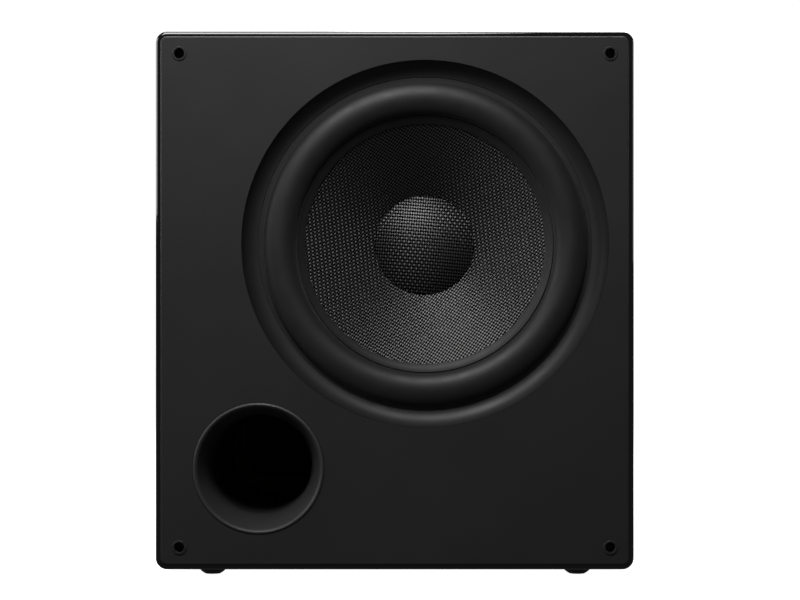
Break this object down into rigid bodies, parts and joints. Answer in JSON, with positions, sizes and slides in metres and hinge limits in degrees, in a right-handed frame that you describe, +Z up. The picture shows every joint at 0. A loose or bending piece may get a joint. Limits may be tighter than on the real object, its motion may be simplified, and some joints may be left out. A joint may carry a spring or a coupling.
{
  "type": "subwoofer",
  "caption": "Ported powered subwoofer: gloss cabinet, woven-cone bass driver, flared port and rear plate amplifier with controls.",
  "frame": {"origin": "on the floor under the middle of the bounding box", "axes": "+X right seen from the front, the front baffle faces -Y, +Z up"},
  "size_m": [0.42, 0.5034, 0.4826],
  "materials": {
    "gloss_black": "piano gloss lacquer over board",
    "satin_black": "fine satin black paint over board",
    "board": "raw fibreboard",
    "wadding": "fluffy polyester fibre",
    "satin_trim": "satin moulded plastic",
    "rubber": "satin rubber",
    "woven_cone": "woven glass fibre with dark resin",
    "spider_cloth": "resin-dipped cloth",
    "cast_alloy": "black powder-coated casting",
    "foam": "closed-cell foam",
    "steel": "zinc plated",
    "black_steel": "black screw head",
    "plated_steel": "passivated steel",
    "ferrite": "ground ferrite",
    "copper": "enamelled copper wire",
    "former": "anodised foil",
    "panel_paint": "textured black powder coat",
    "heatsink": "black anodised extrusion",
    "pcb": "green solder mask",
    "tape": "polyester tape over windings",
    "can": "sleeved can",
    "epoxy": "moulded epoxy",
    "hard_plastic": "moulded black plastic",
    "nickel": "nickel plate",
    "lamp": "diffused lens",
    "cable": "flexible sheath"
  },
  "bodies": {
    "cabinet": {"side_panel_left": "gloss_black", "side_panel_right": "gloss_black", "top_panel": "gloss_black", "bottom_panel": "gloss_black", "rear_panel": "satin_black", "front_baffle": "satin_black", "window_brace": "board", "acoustic_wadding": "wadding", "trim_ring": "satin_trim", "port_flare": "satin_trim", "port_tube": "satin_trim", "grille_sockets": "rubber", "rubber_feet": "rubber", "foot_screws": "steel", "driver_basket": "cast_alloy", "driver_gasket": "foam", "driver_screws": "black_steel", "top_plate": "plated_steel", "magnet_rings": "ferrite", "t_yoke": "plated_steel", "magnet_boot": "rubber", "driver_terminals": "nickel", "spider": "spider_cloth", "surround": "rubber", "tinsel_leads": "copper", "amp_panel": "panel_paint", "amp_panel_screws": "black_steel", "amp_gasket": "foam", "amp_heatsink": "heatsink", "amp_cover": "plated_steel", "amp_board": "pcb", "control_board": "pcb", "toroidal_transformer": "tape", "transformer_bolt": "steel", "filter_capacitors": "can", "power_transistors": "epoxy", "iec_inlet": "hard_plastic", "iec_pins": "nickel", "rocker_bezel": "hard_plastic", "rca_jacks": "nickel", "rca_insulators": "hard_plastic", "control_pots": "hard_plastic", "pot_nuts": "nickel", "mode_switch": "hard_plastic", "status_led": "lamp", "speaker_lead": "cable"},
    "diaphragm": {"cone": "woven_cone", "dust_cap": "woven_cone", "voice_coil_former": "former", "voice_coil": "copper"},
    "volume_control": {"volume_knob": "hard_plastic", "volume_shaft": "nickel"},
    "crossover_control": {"crossover_knob": "hard_plastic", "crossover_shaft": "nickel"},
    "phase_control": {"phase_knob": "hard_plastic", "phase_shaft": "nickel"},
    "rocker": {"power_rocker": "hard_plastic"},
    "mode_slider": {"mode_lever": "hard_plastic"},
    "fuse_holder": {"fuse_drawer": "hard_plastic", "mains_fuse": "nickel"}
  },
  "joints": [
    {"name": "cone_travel", "type": "slide", "parent": "cabinet", "child": "diaphragm", "axis": [0, -1, 0], "range_m": [-0.01, 0.01], "stiffness_N_per_m": 2800, "deforming": ["surround", "spider", "tinsel_leads"]},
    {"name": "volume_turn", "type": "hinge", "parent": "cabinet", "child": "volume_control", "pos_m": [-0.062, 0.22575, 0.3855], "axis": [0, 1, 0], "range_deg": [-150, 150]},
    {"name": "crossover_turn", "type": "hinge", "parent": "cabinet", "child": "crossover_control", "pos_m": [0, 0.22575, 0.3855], "axis": [0, 1, 0], "range_deg": [-150, 150]},
    {"name": "phase_turn", "type": "hinge", "parent": "cabinet", "child": "phase_control", "pos_m": [0.062, 0.22575, 0.3855], "axis": [0, 1, 0], "range_deg": [-150, 150]},
    {"name": "rocker_tilt", "type": "hinge", "parent": "cabinet", "child": "rocker", "pos_m": [0.052, 0.22575, 0.1295], "axis": [1, 0, 0], "range_deg": [0, 20]},
    {"name": "mode_slide", "type": "slide", "parent": "cabinet", "child": "mode_slider", "axis": [1, 0, 0], "range_m": [-0.004, 0.004]},
    {"name": "fuse_slide", "type": "slide", "parent": "cabinet", "child": "fuse_holder", "axis": [0, 1, 0], "range_m": [0, 0.022]}
  ]
}
